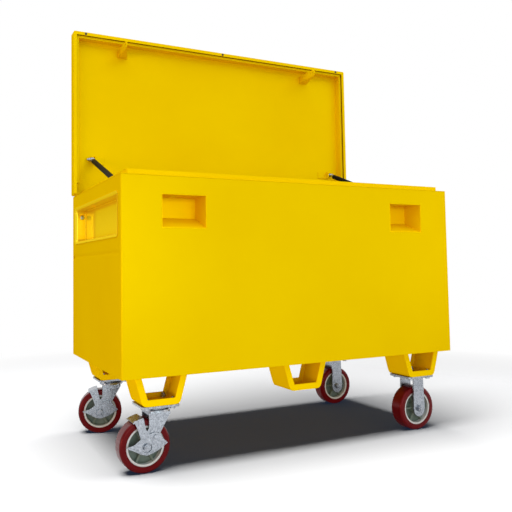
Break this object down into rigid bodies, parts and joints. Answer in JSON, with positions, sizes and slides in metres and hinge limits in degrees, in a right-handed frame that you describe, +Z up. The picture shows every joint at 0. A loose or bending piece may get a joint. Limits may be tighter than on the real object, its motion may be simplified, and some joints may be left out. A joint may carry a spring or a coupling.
{
  "type": "jobsite storage box",
  "caption": "Rolling steel tool chest with a hinged pan lid on gas struts, recessed lock pockets, trapezoid legs and braked swivel casters.",
  "frame": {"origin": "On the ground under the middle of the box: the bottom centre of the bounding box with the lid open.", "axes": "+Z is up, -Y is the front with the lock pockets, +X is to the right seen from the front. The lid stands open at the rear."},
  "size_m": [1.2284, 0.616, 1.4643],
  "materials": {
    "yellow_paint": "glossy safety-yellow powder coat with a faint orange peel",
    "zinc_plate": "bright zinc plating, slightly uneven",
    "cast_hub": "light grey-green painted casting",
    "maroon_tread": "smooth moulded maroon polyurethane",
    "black_steel": "gloss black paint",
    "black_rubber": "matt black rubber"
  },
  "bodies": {
    "box": {"front_panel": "yellow_paint", "rear_panel": "yellow_paint", "left_side_panel": "yellow_paint", "right_side_panel": "yellow_paint", "floor_panel": "yellow_paint", "opening_rim": "yellow_paint", "left_lock_pocket": "yellow_paint", "right_lock_pocket": "yellow_paint", "left_handle_recess": "yellow_paint", "right_handle_recess": "yellow_paint", "left_recess_bolt": "zinc_plate", "right_recess_bolt": "zinc_plate", "front_left_leg": "yellow_paint", "front_middle_leg": "yellow_paint", "front_right_leg": "yellow_paint", "rear_left_leg": "yellow_paint", "rear_middle_leg": "yellow_paint", "rear_right_leg": "yellow_paint", "hinge_body_leaf": "yellow_paint", "hinge_pin": "zinc_plate", "left_strut_lower_bracket": "yellow_paint", "right_strut_lower_bracket": "yellow_paint", "front_left_caster_plate": "zinc_plate", "rear_left_caster_plate": "zinc_plate", "front_right_fork": "zinc_plate", "rear_right_fork": "zinc_plate", "front_right_axle": "zinc_plate", "rear_right_axle": "zinc_plate"},
    "lid": {"lid_pan": "yellow_paint", "hinge_lid_leaf": "yellow_paint", "left_lock_tongue": "yellow_paint", "right_lock_tongue": "yellow_paint", "left_lid_bumper": "black_rubber", "middle_lid_bumper": "black_rubber", "right_lid_bumper": "black_rubber", "left_strut_upper_bracket": "yellow_paint", "right_strut_upper_bracket": "yellow_paint"},
    "left_strut_piston": {"left_strut_rod": "zinc_plate"},
    "right_strut_piston": {"right_strut_rod": "zinc_plate"},
    "left_strut_cylinder": {"left_strut_tube": "black_steel", "left_strut_bolt": "zinc_plate"},
    "right_strut_cylinder": {"right_strut_tube": "black_steel", "right_strut_bolt": "zinc_plate"},
    "front_left_swivel": {"front_left_fork": "zinc_plate", "front_left_axle": "zinc_plate"},
    "rear_left_swivel": {"rear_left_fork": "zinc_plate", "rear_left_axle": "zinc_plate"},
    "front_left_brake": {"front_left_brake_lever": "zinc_plate"},
    "rear_left_brake": {"rear_left_brake_lever": "zinc_plate"},
    "front_left_wheel": {"front_left_hub": "cast_hub", "front_left_tread": "maroon_tread"},
    "rear_left_wheel": {"rear_left_hub": "cast_hub", "rear_left_tread": "maroon_tread"},
    "front_right_wheel": {"front_right_hub": "cast_hub", "front_right_tread": "maroon_tread"},
    "rear_right_wheel": {"rear_right_hub": "cast_hub", "rear_right_tread": "maroon_tread"}
  },
  "joints": [
    {"name": "lid_hinge", "type": "hinge", "parent": "box", "child": "lid", "pos_m": [0, 0.2828, 0.8688], "axis": [1, 0, 0], "range_deg": [0, 90]},
    {"name": "left_strut_pivot", "type": "hinge", "parent": "box", "child": "left_strut_piston", "pos_m": [-0.541, -0.177, 0.8075], "axis": [1, 0, 0], "range_deg": [-10.5, 0]},
    {"name": "right_strut_pivot", "type": "hinge", "parent": "box", "child": "right_strut_piston", "pos_m": [0.541, -0.177, 0.8075], "axis": [1, 0, 0], "range_deg": [-10.5, 0]},
    {"name": "left_strut_slide", "type": "slide", "parent": "left_strut_piston", "child": "left_strut_cylinder", "axis": [0, 0.9305, 0.3662], "range_m": [-0.1553, 0]},
    {"name": "right_strut_slide", "type": "slide", "parent": "right_strut_piston", "child": "right_strut_cylinder", "axis": [0, 0.9305, 0.3662], "range_m": [-0.1553, 0]},
    {"name": "front_left_swivel", "type": "hinge", "parent": "box", "child": "front_left_swivel", "pos_m": [-0.4865, -0.238, 0.1905], "axis": [0, 0, 1], "continuous": true},
    {"name": "rear_left_swivel", "type": "hinge", "parent": "box", "child": "rear_left_swivel", "pos_m": [-0.4865, 0.232, 0.1905], "axis": [0, 0, 1], "continuous": true},
    {"name": "front_left_wheel_spin", "type": "hinge", "parent": "front_left_swivel", "child": "front_left_wheel", "pos_m": [-0.5265, -0.238, 0.0762], "axis": [0, 1, 0], "continuous": true},
    {"name": "rear_left_wheel_spin", "type": "hinge", "parent": "rear_left_swivel", "child": "rear_left_wheel", "pos_m": [-0.52531, 0.24168, 0.0762], "axis": [0.2419, 0.9703, 0], "continuous": true},
    {"name": "front_right_wheel_spin", "type": "hinge", "parent": "box", "child": "front_right_wheel", "pos_m": [0.4865, -0.238, 0.0762], "axis": [0, 1, 0], "continuous": true},
    {"name": "rear_right_wheel_spin", "type": "hinge", "parent": "box", "child": "rear_right_wheel", "pos_m": [0.4865, 0.232, 0.0762], "axis": [0, 1, 0], "continuous": true},
    {"name": "front_left_brake_lever", "type": "hinge", "parent": "front_left_swivel", "child": "front_left_brake", "pos_m": [-0.4995, -0.2749, 0.1032], "axis": [0, -1, 0], "range_deg": [0, 1.8]},
    {"name": "rear_left_brake_lever", "type": "hinge", "parent": "rear_left_swivel", "child": "rear_left_brake", "pos_m": [-0.50804, 0.19934, 0.1032], "axis": [-0.2419, -0.9703, 0], "range_deg": [0, 1.8]}
  ],
  "couplings": [
    {"joint": "left_strut_pivot", "follows": "lid_hinge", "ratio": -0.11505},
    {"joint": "right_strut_pivot", "follows": "lid_hinge", "ratio": -0.11505},
    {"joint": "left_strut_slide", "follows": "lid_hinge", "m_per_rad": -0.098763},
    {"joint": "right_strut_slide", "follows": "lid_hinge", "m_per_rad": -0.098763}
  ]
}
